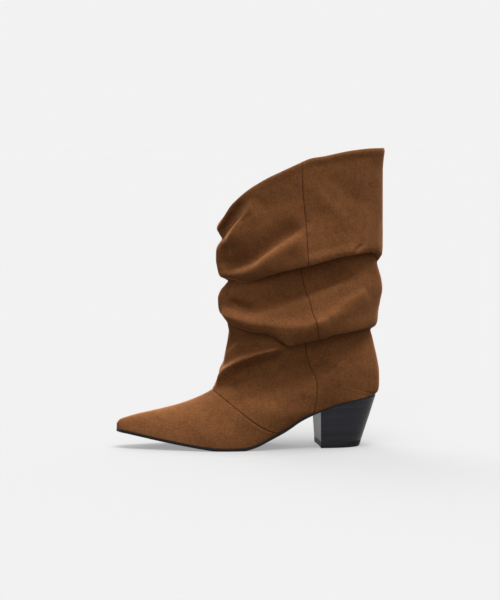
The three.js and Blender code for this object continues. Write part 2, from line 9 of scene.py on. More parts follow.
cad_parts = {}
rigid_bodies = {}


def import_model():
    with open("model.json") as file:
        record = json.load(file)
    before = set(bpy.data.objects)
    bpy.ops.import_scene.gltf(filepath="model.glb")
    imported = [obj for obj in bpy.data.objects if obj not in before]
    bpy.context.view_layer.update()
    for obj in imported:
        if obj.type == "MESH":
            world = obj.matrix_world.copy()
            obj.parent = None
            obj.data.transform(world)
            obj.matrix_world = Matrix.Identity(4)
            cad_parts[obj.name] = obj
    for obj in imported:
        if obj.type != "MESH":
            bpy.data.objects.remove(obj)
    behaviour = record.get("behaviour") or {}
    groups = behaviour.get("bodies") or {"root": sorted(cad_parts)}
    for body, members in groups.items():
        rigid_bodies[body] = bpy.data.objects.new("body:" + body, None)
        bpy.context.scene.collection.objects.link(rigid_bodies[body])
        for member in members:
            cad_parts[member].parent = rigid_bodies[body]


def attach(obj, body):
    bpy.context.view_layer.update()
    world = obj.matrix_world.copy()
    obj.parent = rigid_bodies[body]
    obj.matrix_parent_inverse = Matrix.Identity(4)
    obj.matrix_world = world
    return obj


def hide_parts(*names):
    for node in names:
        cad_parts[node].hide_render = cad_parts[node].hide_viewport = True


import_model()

MM = 0.001
GAP = 0.3
WALL = 2.0


# ------------------------------------------------------------------ curves and tables
def rows_of(columns, rows):
    return {c: np.array([r[i] for r in rows], float) for i, c in enumerate(columns)}


def monotone(xs, ys):
    """Monotone cubic through the points, as a function of an array."""
    xs, ys = np.asarray(xs, float), np.asarray(ys, float)
    h = np.diff(xs)
    d = np.diff(ys) / h
    m = np.empty(len(xs))
    m[0], m[-1] = d[0], d[-1]
    for i in range(1, len(xs) - 1):
        if d[i - 1] * d[i] <= 0:
            m[i] = 0
        else:
            a, b = 2 * h[i] + h[i - 1], h[i] + 2 * h[i - 1]
            m[i] = (a + b) / (a / d[i - 1] + b / d[i])

    def f(x):
        q = np.clip(x, xs[0], xs[-1])
        i = np.clip(np.searchsorted(xs, q, side="right") - 1, 0, len(xs) - 2)
        t = (q - xs[i]) / h[i]
        t2, t3 = t * t, t * t * t
        return (
            (2 * t3 - 3 * t2 + 1) * ys[i]
            + (t3 - 2 * t2 + t) * h[i] * m[i]
            + (3 * t2 - 2 * t3) * ys[i + 1]
            + (t3 - t2) * h[i] * m[i + 1]
        )

    return f


def lerp(a, b, t):
    return a + (b - a) * t


def smooth(t):
    t = np.clip(t, 0, 1)
    return t * t * (3 - 2 * t)


# The last's sole line: outer and inner edge, height of the feather line, height of the underside.
LAST = rows_of(
    ["x", "outer", "inner", "feather", "under"],
    [
        [-133.5, 3.6, 6.4, 19.0, 16.3],
        [-132.3, 0.6, 9.2, 18.7, 16.0],
        [-130.0, -2.4, 11.7, 18.4, 15.6],
        [-124.0, -6.6, 15.6, 17.5, 14.7],
        [-111.0, -12.9, 20.8, 15.1, 12.3],
        [-95.5, -19.3, 26.8, 12.1, 9.3],
        [-80.0, -25.5, 31.8, 9.3, 6.5],
        [-64.5, -31.2, 36.2, 6.6, 3.9],
        [-49.0, -36.0, 38.9, 4.4, 1.5],
        [-36.0, -38.8, 39.2, 3.1, 0.0],
        [-22.0, -40.0, 37.5, 2.8, 0.0],
        [-9.5, -39.3, 34.4, 3.1, 0.0],
        [-1.5, -38.2, 32.2, 4.6, 1.7],
        [6.5, -37.0, 29.9, 7.4, 4.5],
        [14.5, -35.6, 27.6, 11.3, 8.5],
        [22.5, -34.0, 25.6, 15.3, 12.4],
        [31.0, -32.3, 24.3, 19.7, 16.6],
        [39.0, -31.0, 23.7, 24.5, 21.5],
        [47.0, -30.0, 23.5, 29.5, 26.8],
        [55.0, -29.2, 23.8, 33.1, 31.0],
        [67.5, -29.1, 25.6, 38.0, 36.5],
        [83.0, -29.0, 27.7, 43.7, 42.3],
        [99.0, -27.8, 27.8, 47.5, 46.1],
        [108.0, -25.4, 25.4, 49.2, 47.8],
        [117.0, -19.8, 19.8, 50.7, 49.3],
        [123.5, -11.6, 11.6, 51.6, 50.2],
        [126.5, -2.0, 2.0, 52.0, 50.6],
    ],
)
outer_y = monotone(LAST["x"], LAST["outer"])
inner_y = monotone(LAST["x"], LAST["inner"])
feather_z = monotone(LAST["x"], LAST["feather"])
under_z = monotone(LAST["x"], LAST["under"])
TOE_X, SEAT_X = LAST["x"][0], LAST["x"][-1]

# Heights of the fold lips and the collar at eleven places from the front line to the back line.
AT = [0, 0.08, 0.2, 0.3, 0.4, 0.5, 0.62, 0.75, 0.88, 0.95, 1]
LINES = {
    "collar": {
        "outer": [222.4, 243.9, 260.9, 270.5, 278.3, 286.0, 290.2, 294.6, 297.2, 297.7, 297.8],
        "inner": [222.4, 236.2, 253.2, 263.0, 270.8, 279.0, 285.2, 290.6, 294.8, 296.4, 297.8],
    },
    "upper_fold": {
        "outer": [168.3, 168.3, 174.2, 178.6, 181.8, 184.8, 189.4, 193.8, 196.6, 196.0, 188.8],
        "inner": [168.3, 172.0, 178.5, 183.5, 187.0, 189.0, 190.5, 191.4, 191.4, 190.6, 188.8],
    },
    "lower_fold": {
        "outer": [129.6, 127.0, 121.4, 118.2, 105.6, 109.8, 115.7, 118.2, 120.4, 121.4, 121.5],
        "inner": [129.6, 127.0, 121.0, 115.5, 111.5, 110.5, 112.0, 115.5, 119.0, 120.6, 121.5],
    },
}
ROLL = {
    "upper_fold": {
        "outer": [0, 0.6, 5.0, 7.6, 8.2, 8.2, 7.6, 7.0, 6.0, 3.8, 0],
        "inner": [0, 3.4, 6.2, 7.2, 7.0, 6.4, 6.2, 6.4, 4.8, 3.0, 0],
    },
    "lower_fold": {
        "outer": [0, 4.4, 6.0, 4.4, 3.0, 5.6, 7.4, 7.2, 5.2, 3.0, 0],
        "inner": [0, 3.4, 5.4, 6.0, 5.4, 5.0, 5.6, 6.0, 4.6, 2.8, 0],
    },
}
TUCK = {
    "upper_fold": {
        "outer": [0, 0.4, 4.8, 6.8, 7.4, 7.4, 7.0, 6.2, 4.8, 3.0, 0],
        "inner": [0, 2.4, 4.6, 5.6, 5.8, 5.6, 5.2, 4.6, 3.2, 2.0, 0],
    },
    "lower_fold": {
        "outer": [0, 4.4, 6.4, 5.4, 4.4, 7.0, 8.2, 7.2, 4.4, 2.2, 0],
        "inner": [0, 3.0, 4.8, 5.0, 4.6, 4.4, 4.8, 5.0, 3.4, 2.0, 0],
    },
}
SIDES = ("outer", "inner")
over_chord = {
    s: {
        n: monotone(AT, [z - lerp(v[s][0], v[s][-1], a) for a, z in zip(AT, v[s])])
        for n, v in LINES.items()
    }
    for s in SIDES
}
roll = {s: {n: monotone(AT, ROLL[n][s]) for n in ROLL} for s in SIDES}
tuck = {s: {n: monotone(AT, TUCK[n][s]) for n in TUCK} for s in SIDES}

# Sections of the upper, as slices that fan from upright at the toe to level on the shaft: from the front
# line (dx, dz) to the back line (bx, bz), or to the feather line where bz is 0. half, rear: half width
# at the front and at the back. front, back: how blunt each end is. yd: sideways place of the front line.
# low, up, top: share of each line that the slice follows. r_low, r_up: share of each fold's relief.
# hang: how far the lip hangs down over the tuck below it. sag: how far the slice bows down below straight.
# slope: 1 where the sides come down to the feather line at a slant, 0 where they bulge out above it.
SECTIONS = rows_of(
    ["dx", "dz", "bx", "bz", "half", "rear", "front", "back", "yd", "low", "up", "top", "r_low", "r_up", "hang", "sag", "slope"],
    [
        [-133.5, 24.2, -133.5, 0, 1.4, 1.4, 1, 1, 5, 0, 0, 0, 0, 0, 0, 0, 1],
        [-132.4, 25.9, -132.3, 0, 4.4, 4.4, 0.95, 1, 5, 0, 0, 0, 0, 0, 0, 0, 1],
        [-129.8, 28.4, -129.6, 0, 7.5, 7.5, 0.92, 1, 4.9, 0, 0, 0, 0, 0, 0, 0, 1],
        [-124, 30.4, -124, 0, 11.3, 11.3, 0.9, 1, 4.7, 0, 0, 0, 0, 0, 0, 0, 1],
        [-114, 33.3, -115, 0, 15.6, 15.6, 0.9, 1, 4.2, 0, 0, 0, 0, 0, 0, 0, 1],
        [-101, 36.1, -102, 0, 21.2, 21.2, 0.92, 1, 3.8, 0, 0, 0, 0, 0, 0, 0, 1],
        [-86, 39.5, -87, 0, 27, 27, 0.96, 1, 3.4, 0, 0, 0, 0, 0, 0, 0, 1],
        [-71, 43.3, -72, 0, 32.2, 32.2, 1, 1, 3, 0, 0, 0, 0, 0, 0, 0, 1],
        [-57.5, 48, -50, 0, 37.8, 37.8, 1.04, 1, 2.6, 0, 0, 0, 0, 0, 0, 0, 0.8],
        [-46.5, 52.8, -18, 0, 39.4, 39.4, 1.06, 1, 2.2, 0, 0, 0, 0, 0, 0, 2, 0.4],
        [-38.2, 57.7, 25, 0, 38.4, 38, 1.04, 1, 2, 0, 0, 0, 0, 0, 0, 5, 0.1],
        [-33.4, 67, 48, 0, 37.4, 36, 1, 1, 1.6, 0, 0, 0, 0, 0, 0, 3.6, 0],
        [-29.6, 76, 71, 0, 36.4, 31.5, 1, 0.5, 1.2, 0, 0, 0, 0, 0, 0, 2.2, 0],
        [-26.9, 84, 92, 0, 35.8, 32.5, 1, 0.54, 0.8, 0, 0, 0, 0, 0, 0, 1, 0],
        [-25.6, 91.5, 108, 0, 35.4, 33.5, 1, 0.57, 0.4, 0, 0, 0, 0, 0, 0, 0, 0],
        [-24.5, 97.5, 119, 0, 35, 34.4, 1, 0.61, 0.2, 0, 0, 0, 0, 0, 0, 0, 0],
        [-23.6, 102, 126.5, 0, 34.8, 34.9, 1, 0.76, 0, 0, 0, 0, 0, 0, 0, 0, 0],
        [-22.7, 106.5, 129.7, 55.8, 34.6, 35.1, 1, 0.90, 0, 0.1, 0, 0, 0, 0, 0, 0, 0],
        [-22, 111, 130.7, 63, 34.6, 35.1, 1, 0.93, 0, 0.25, 0, 0, -0.03, 0, 0, 0, 0],
        [-21.5, 115.5, 130.5, 74, 34.8, 34.9, 1, 0.9, 0, 0.45, 0, 0, -0.1, 0, 0, 0, 0],
        [-21.2, 119.5, 128.8, 85.6, 35.2, 34.4, 1, 0.9, 0, 0.62, 0, 0, -0.26, 0, 0, 0, 0],
        [-21.1, 123, 126.2, 97.5, 35.6, 34.2, 1, 0.92, 0, 0.78, 0, 0, -0.5, 0, 0, 0, 0],
        [-21.1, 127.0, 123.5, 109, 36, 34.4, 1, 0.96, 0, 0.9, 0, 0, -0.8, 0, 1.5, 0, 0],
        [-21.1, 128.0, 121.7, 116.4, 36.2, 34.8, 1, 1, 0, 1, 0, 0, -1, 0, 5, 0, 0],
        [-24.2, 131.0, 126.6, 120.8, 36.2, 36.2, 1, 1, 0, 1, 0, 0, 1, 0, -1.5, 0, 0],
        [-29.6, 133.8, 128.8, 126, 36.4, 36.4, 1, 1.04, 0, 0.86, 0.06, 0, 1.12, 0, 0, 0, 0],
        [-31.8, 140.5, 129.6, 135, 36.6, 36.6, 1, 1.1, 0, 0.62, 0.18, 0, 1, 0, 0, 0, 0],
        [-32.2, 149, 131.8, 147, 36.8, 36.8, 1, 1.14, 0, 0.4, 0.36, 0, 0.6, -0.1, 0, 0, 0],
        [-29.4, 157, 133.7, 158, 36.8, 36.8, 1, 1.16, 0, 0.22, 0.56, 0, 0.25, -0.3, 0, 0, 0],
        [-24.8, 162.4, 132.6, 167, 36.6, 36.6, 1, 1.16, 0, 0.08, 0.8, 0, 0, -0.7, 1.5, 0, 0],
        [-22.1, 166, 128.2, 183.6, 36.4, 36.4, 1, 1.16, 0, 0, 1, 0, 0, -1, 5, 0, 0],
        [-25.2, 168.4, 130.8, 188.2, 36.8, 36.8, 1, 1.18, 0, 0, 1, 0, 0, 1, -1.5, 0, 0],
        [-30.4, 171.2, 133.2, 192.6, 36.8, 36.8, 1, 1.2, 0, 0, 0.92, 0.05, 0, 1.12, 0, 0, 0],
        [-32.9, 179.4, 133.9, 201, 36.9, 36.9, 1, 1.22, 0, 0, 0.78, 0.14, 0, 1, 0, 0, 0],
        [-34.2, 188.2, 133.9, 213, 37.2, 37.2, 1, 1.25, 0, 0, 0.58, 0.3, 0, 0.7, 0, 0, 0],
        [-34, 196.4, 133.8, 228, 37.5, 37.5, 1, 1.3, 0, 0, 0.38, 0.48, 0, 0.35, 0, 0, 0],
        [-31.8, 202.6, 133.8, 244, 37.8, 37.8, 1, 1.34, 0, 0, 0.22, 0.64, 0, 0.12, 0, 0, 0],
        [-28.2, 208.2, 133.7, 260, 38.1, 38.1, 1, 1.36, 0, 0, 0.1, 0.78, 0, 0, 0, 0, 0],
        [-31, 213.6, 133.7, 275, 38.4, 38.4, 1, 1.36, 0, 0, 0, 0.9, 0, 0, 0, 0, 0],
        [-32.9, 218.4, 134.6, 289, 38.6, 38.6, 1, 1.34, 0, 0, 0, 0.98, 0, 0, 0, 0, 0],
        [-32.6, 222.4, 135.4, 297.8, 38.8, 38.8, 1, 1.32, 0, 0, 0, 1, 0, 0, 0, 0, 0],
    ],
)
N_ROWS = len(SECTIONS["dx"])
VAMP_ROW, HEEL_ROW = 10, 16
LOW_TUCK, UP_TUCK = 23, 30
on_feather = SECTIONS["bz"] == 0
SECTIONS["bz"] = np.where(on_feather, feather_z(SECTIONS["bx"]) + GAP, SECTIONS["bz"])
section = {k: monotone(np.arange(N_ROWS), v) for k, v in SECTIONS.items()}

# Side seam between the front and back shaft panels: x against height, in the three stretches that show.
SEAM = {
    "low": ([37.9, 50, 61.9, 71.5, 80.7, 94, 112], [61.6, 63.6, 64, 62.5, 58.5, 54.5, 51.2]),
    "middle": ([108, 127, 137.6, 149.6, 160, 172, 186], [64, 61, 57.6, 55, 52.2, 49, 46.2]),
    "top": ([184, 192.6, 211, 231, 248, 263.8, 290], [53.4, 53.1, 52.2, 51, 49.2, 48, 47.6]),
}
seam_x = {k: monotone(*v) for k, v in SEAM.items()}

# Folds drawn across each side, as soft ridges (high above 0) and troughs (below 0). Each runs through four
# points (x, z) from front to back. up, down: how far it spreads above and below. tip: share of its length
# over which each end fades out.
CREASES = rows_of(
    ["side", "x0", "z0", "x1", "z1", "x2", "z2", "x3", "z3", "high", "up", "down", "tip"],
    [
        # outer side, collar to toe
        [0, -27, 201, -15, 218, -5, 235, 2, 250, 5.6, 3.6, 14, 0.3],  # edge of the fold at the front of the collar
        [0, -34, 208, -26, 222, -17, 236, -11, 250, -4.0, 3.2, 3.6, 0.25],  # hollow in front of it
        [0, 50, 274, 62, 256, 78, 240, 104, 218, 1.5, 6, 10, 0.3],
        [0, 66, 280, 82, 264, 98, 250, 122, 238, -1.1, 8, 6, 0.3],
        [0, 52, 278, 72, 284, 95, 288, 124, 290, -0.6, 4, 8, 0.25],
        [0, -33, 178, -31.5, 187, -29.5, 195, -27, 206, -5.8, 4.0, 7.5, 0.3],
        [0, -21, 184, -19.5, 192, -18, 201, -15, 212, 1.0, 5.0, 6.0, 0.3],
        [0, -36, 178, -7, 184.5, 12, 198.5, 50, 223.5, -7.6, 12, 4.6, 0.2],
        [0, -28, 173, -1, 179.5, 19, 194, 52, 216.5, 4.6, 6.0, 13, 0.2],
        [0, 44, 196, 66, 200, 90, 205, 116, 208, -2.0, 26, 6, 0.2],
        [0, -35, 146, -30, 156, -22, 164, -6, 171, -3.4, 5.0, 6.5, 0.3],
        [0, -30, 152, -22, 147, -12, 143, 2, 141, -2.8, 6.0, 5.5, 0.3],
        [0, -58, 150, -7, 138.5, 34, 151, 110, 180, -6.6, 15, 5.5, 0.12],
        [0, -36, 130, 8, 124.5, 44, 122, 76, 131, 6.0, 7.5, 16, 0.14],
        [0, 56, 123, 76, 133, 95, 147, 118, 158, 3.4, 4.5, 13, 0.2],
        [0, -41, 58, -22, 78, -3, 90.5, 36, 103.5, 8.0, 4.6, 2.8, 0.2],
        [0, -33, 92, -19, 106, 2, 112, 24, 115, -3.4, 9.0, 3.5, 0.2],
        [0, -37, 56, -23, 71, -3, 82, 34, 93, -5.4, 4.5, 10, 0.22],
        [0, -36, 48, 4, 59, 44, 72, 86, 90, -7.8, 25, 12, 0.18],
        [0, 18, 72, 30, 76, 44, 82, 60, 92, -2.6, 8.0, 5.0, 0.3],
        [0, 102, 196, 104.5, 198.5, 107, 201.5, 108.5, 205, -1.8, 2.2, 2.0, 0.3],
        [0, 111, 196, 111.2, 204, 111.3, 212, 111.2, 226, -1.2, 1.8, 1.8, 0.3],
        # inner side
        [1, -26, 206, -18, 222, -8, 236, 2, 248, -4.0, 7.0, 6.0, 0.25],
        [1, -30, 186, 0, 187, 34, 203, 70, 226, -3.4, 16, 7.0, 0.22],
        [1, -32, 176, 6, 179, 40, 193, 76, 210, 2.8, 6.0, 12, 0.2],
        [1, -28, 150, 12, 139, 52, 144, 108, 166, -3.4, 16, 7.0, 0.2],
        [1, -32, 141, 14, 129, 60, 130, 112, 150, 2.6, 7.0, 12, 0.2],
        [1, -34, 69, -20, 82, 4, 93, 38, 101, 3.2, 7.5, 6.0, 0.15],
        [1, -24, 87, -6, 98, 12, 104, 30, 107, -3.0, 9.0, 6.0, 0.25],
        [1, -28, 66, -8, 80, 12, 87, 36, 92, -2.0, 5.0, 12, 0.25],
    ],
)


def spline(p, n=9):
    """Catmull-Rom through four points."""
    p = np.array(p, float)
    e = np.vstack([2 * p[0] - p[1], p, 2 * p[-1] - p[-2]])
    out = []
    for i in range(len(p) - 1):
        t = np.linspace(0, 1, n, endpoint=i == len(p) - 2)[:, None]
        a, b, c, d = e[i], e[i + 1], e[i + 2], e[i + 3]
        out.append(0.5 * (2 * b + (c - a) * t + (2 * a - 5 * b + 4 * c - d) * t**2 + (3 * b - a - 3 * c + d) * t**3))
    return np.vstack(out)


def creases(side, x, z):
    """Sum of the folds at side-view places x, z."""
    total = np.zeros_like(x)
    c = CREASES
    for k in range(len(c["side"])):
        if int(c["side"][k]) != SIDES.index(side):
            continue
        line = spline([(c[f"x{i}"][k], c[f"z{i}"][k]) for i in range(4)])
        a, b = line[:-1], line[1:]
        u = b - a
        length = np.hypot(*u.T)
        start = np.concatenate([[0], np.cumsum(length)])
        reach = 2.4 * max(c["up"][k], c["down"][k])
        near = (
            (x > line[:, 0].min() - reach) & (x < line[:, 0].max() + reach)
            & (z > line[:, 1].min() - reach) & (z < line[:, 1].max() + reach)
        )
        if not near.any():
            continue
        px, pz = x[near], z[near]
        best = np.full(px.shape, 1e9)
        lean = np.ones(px.shape)
        along = np.zeros(px.shape)
        for i in range(len(a)):
            rx, rz = px - a[i, 0], pz - a[i, 1]
            t = np.clip((rx * u[i, 0] + rz * u[i, 1]) / length[i] ** 2, 0, 1)
            dx, dz = rx - t * u[i, 0], rz - t * u[i, 1]
            d = np.hypot(dx, dz)
            closer = d < best
            best = np.where(closer, d, best)
            lean = np.where(closer, (u[i, 0] * rz - u[i, 1] * rx) / length[i] / np.maximum(d, 1e-6), lean)
            along = np.where(closer, (start[i] + t * length[i]) / start[-1], along)
        width = lerp(c["down"][k], c["up"][k], (1 + np.clip(lean, -1, 1)) / 2)
        tip = max(c["tip"][k], 0.02)
        taper = smooth(along / tip) * smooth((1 - along) / tip)
        add = c["high"][k] * np.exp(-((best / width) ** 2)) * (0.12 + 0.88 * taper)
        total[near] += add
    return total


def base(side, q, share, lining=False):
    """Upper's outer face before the drawn folds, at row number q and share of the half ring. Returns x, y, z, t."""
    s = {k: f(q) for k, f in section.items()}
    feather = q <= HEEL_ROW + 1e-9
    closed = q >= HEEL_ROW - 1e-9
    s["bz"] = np.where(feather, feather_z(s["bx"]) + GAP, s["bz"])
    lo, hi = outer_y(s["bx"]), inner_y(s["bx"])
    end_half = np.where(closed, 0, (hi - lo) / 2)
    # the back line starts over the middle of the seat's end and runs in to the middle of the shaft
    seat_end = (outer_y(np.array(126.5)) + inner_y(np.array(126.5))) / 2
    y_end = np.where(closed, seat_end * smooth(1 - (q - HEEL_ROW) / 5), (hi + lo) / 2)
    ratio = np.clip(end_half / s["rear"], 0, 0.999)
    last = lerp(np.pi - np.arcsin(ratio ** (1 / s["back"])), np.radians(74), s["slope"])
    rear = np.where(closed, s["rear"], end_half / np.sin(last) ** s["back"])
    angle = share * last
    t = (1 - np.cos(angle)) / (1 - np.cos(last))
    power = lerp(s["front"], s["back"], t)
    half = lerp(s["half"], rear, smooth(t)) * np.maximum(0, np.sin(angle)) ** power
    half = np.where(share >= 1, end_half, half)
    x, z = lerp(s["dx"], s["bx"], t), lerp(s["dz"], s["bz"], t)
    line = over_chord[side]
    z = z + s["low"] * line["lower_fold"](t) + s["up"] * line["upper_fold"](t) + s["top"] * line["collar"](t)
    rl, ru = roll[side]["lower_fold"](t), roll[side]["upper_fold"](t)
    tl, tu = tuck[side]["lower_fold"](t), tuck[side]["upper_fold"](t)
    keep, deeper = (0.45, 2.6) if lining else (1.0, 0.0)
    lift = np.where(s["r_low"] > 0, s["r_low"] * rl * keep, s["r_low"] * (tl + deeper * np.minimum(tl, 1)))
    lift = lift + np.where(s["r_up"] > 0, s["r_up"] * ru * keep, s["r_up"] * (tu + deeper * np.minimum(tu, 1)))
    strength = np.where(q < 27, rl, ru) / 6.5
    hang = s["hang"]
    if lining:
        hang = np.where(hang < 0, 4.0, hang)
    z = z + hang * strength - s["sag"] * 7.0 * t**2.1 * (1 - t)
    y = lerp(s["yd"], y_end, smooth(t))
    sign = -1 if side == "outer" else 1
    return x, y + sign * (half + lift), z, t, np.sin(angle)


def seam_share(side, rows):
    """Share at which the side seam crosses each row, 1 where the row is in front of it."""
    out = []
    grid = np.linspace(0, 1, 801)
    for q in rows:
        qq = np.full_like(grid, q)
        x, _, z, _, _ = base(side, qq, grid)
        low, mid, top = (seam_x[k](z) for k in ("low", "middle", "top"))
        a, b = smooth((q - LOW_TUCK + 0.4) / 1.2), smooth((q - UP_TUCK + 0.4) / 1.2)
        sx = lerp(lerp(low, mid, a), top, b)
        past = np.nonzero(x - sx > 0)[0]
        if q < VAMP_ROW or len(past) == 0 or past[0] == 0:
            out.append(1.0)
            continue
        i = past[0]
        g0, g1 = (x - sx)[i - 1], (x - sx)[i]
        out.append(lerp(grid[i - 1], grid[i], -g0 / (g1 - g0)))
    return np.array(out)


def fine_rows(step, fine_at=()):
    """Row numbers so that neighbouring slices are at most step apart."""
    share = np.linspace(0, 1, 24)
    rows = []
    for i in range(N_ROWS - 1):
        far = 0
        for side in SIDES:
            a = np.array(base(side, np.full(24, float(i)), share)[:3])
            m = np.array(base(side, np.full(24, i + 0.5), share)[:3])
            b = np.array(base(side, np.full(24, i + 1.0), share)[:3])
            far = max(far, (np.linalg.norm(m - a, axis=0) + np.linalg.norm(b - m, axis=0)).max())
        n = max(2, math.ceil(far / step))
        rows += list(i + np.arange(n) / n)
    rows.append(N_ROWS - 1.0)
    for q in fine_at:
        rows += [q + d for d in (-0.12, -0.07, -0.035, -0.015, 0, 0.015, 0.035, 0.07, 0.12)]
    rows = np.array(sorted(rows))
    keep = np.concatenate([[True], np.diff(rows) > 1e-4])
    return rows[keep]


def normals(side, q, share):
    """Outward normal of the base face."""
    dq, ds = 0.02, 0.004
    q0, q1 = np.clip(q - dq, 0, N_ROWS - 1), np.clip(q + dq, 0, N_ROWS - 1)
    # a slice that ends on the feather line keeps clear of the row where the back line starts
    q1 = np.where((q <= HEEL_ROW) & (q1 > HEEL_ROW) & (share > 0.97), HEEL_ROW, q1)
    q0 = np.where((q > HEEL_ROW) & (q0 < HEEL_ROW) & (share > 0.97), HEEL_ROW, q0)
    s0, s1 = np.clip(share - ds, 0, 1), np.clip(share + ds, 0, 1)
    a = np.stack(base(side, q1, share)[:3], -1) - np.stack(base(side, q0, share)[:3], -1)
    b = np.stack(base(side, q, s1)[:3], -1) - np.stack(base(side, q, s0)[:3], -1)
    n = np.cross(b, a) if side == "outer" else np.cross(a, b)
    middle = (share <= 0) | ((share >= 1) & (q >= HEEL_ROW))
    n[..., 1] = np.where(middle, 0, n[..., 1])
    size = np.linalg.norm(n, axis=-1, keepdims=True)
    return n / np.maximum(size, 1e-9)


def ripple(x, y, z):
    """Faint unevenness of soft leather, in mm."""
    out = np.empty(x.size)
    for i, (a, b, c) in enumerate(zip(x.ravel(), y.ravel(), z.ravel())):
        p = Vector((a * 0.028, b * 0.028, c * 0.034))
        out[i] = noise.noise(p) * 0.55 + noise.noise(p * 2.6 + Vector((7, 3, 1))) * 0.16
    return out.reshape(x.shape)


def below_collar(side, z, t):
    """1 from 9 mm below the collar down, a quarter at its edge: the folds fade out there."""
    edge = lerp(SECTIONS["dz"][-1], SECTIONS["bz"][-1], t) + over_chord[side]["collar"](t)
    return 0.25 + 0.75 * smooth((edge - z) / 9)


def skin(side, q, share, seam_at, extra=None):
    """Finished points of a panel's half. seam_at: distance in mm to the panel's nearest seam."""
    x, y, z, t, sin = base(side, q, share)
    n = normals(side, q, share)
    fade = smooth(sin / 0.3)
    low_edge = np.where(q <= HEEL_ROW, np.clip((1 - share) * 5, 0, 1), 1)
    fold = creases(side, x, z) * fade * low_edge * below_collar(side, z, t)
    waves = ripple(x, y, z) * fade * low_edge
    groove = -0.6 * np.exp(-((seam_at / 0.7) ** 2)) + 0.1 * np.exp(-(((seam_at - 2.6) / 1.5) ** 2))
    move = fold + waves + groove
    if extra is not None:
        move = move + extra
    p = np.stack([x, y, z], -1) + n * move[..., None]
    return p, fold


def along_rows(p):
    """Distance along each row, from its first point."""
    d = np.linalg.norm(np.diff(p, axis=1), axis=-1)
    return np.concatenate([np.zeros((len(p), 1)), np.cumsum(d, 1)], 1)


def along_columns(p):
    d = np.linalg.norm(np.diff(p, axis=0), axis=-1)
    return np.concatenate([np.zeros((1, p.shape[1])), np.cumsum(d, 0)], 0)


# ------------------------------------------------------------------ meshes
def grid_faces(rows, cols, flip):
    a = (np.arange(rows - 1)[:, None] * cols + np.arange(cols - 1)[None, :]).ravel()
    f = np.stack([a, a + 1, a + cols + 1, a + cols], 1)
    return f[:, ::-1] if flip else f


def weld(points, faces, attrs):
    """Merges points at one place and drops faces that shrink to nothing."""
    key = np.round(points / 0.002).astype(np.int64)
    _, first, back = np.unique(key, axis=0, return_index=True, return_inverse=True)
    back = back.ravel()
    out = []
    for f in faces:
        g = []
        for v in back[f]:
            if v not in g:
                g.append(int(v))
        if len(g) > 2:
            out.append(g)
    return points[first], out, {k: v[first] for k, v in attrs.items()}


def mesh_of(name, points, faces, material, attrs=None, smooth_faces=True):
    me = bpy.data.meshes.new(name)
    me.from_pydata((np.asarray(points) * MM).tolist(), [], [list(map(int, f)) for f in faces])
    me.update()
    for k, v in (attrs or {}).items():
        a = me.attributes.new(k, "FLOAT", "POINT")
        a.data.foreach_set("value", np.asarray(v, np.float32))
    ob = bpy.data.objects.new(name, me)
    bpy.context.scene.collection.objects.link(ob)
    if smooth_faces:
        me.polygons.foreach_set("use_smooth", [True] * len(me.polygons))
    me.materials.append(material)
    return ob


def belongs(ob, slot, *nodes):
    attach(ob, "root")
    if nodes:
        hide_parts(*nodes)
    return ob


# ------------------------------------------------------------------ materials
def material(name):
    m = bpy.data.materials.new(name)
    m.use_nodes = True
    m.node_tree.nodes.clear()
    out = m.node_tree.nodes.new("ShaderNodeOutputMaterial")
    bsdf = m.node_tree.nodes.new("ShaderNodeBsdfPrincipled")
    m.node_tree.links.new(bsdf.outputs[0], out.inputs[0])
    return m, m.node_tree, bsdf


def node(tree, kind, inputs=None, **props):
    n = tree.nodes.new(kind)
    for k, v in props.items():
        setattr(n, k, v)
    for k, v in (inputs or {}).items():
        if isinstance(v, bpy.types.NodeSocket):
            tree.links.new(v, n.inputs[k])
        else:
            n.inputs[k].default_value = v
    return n


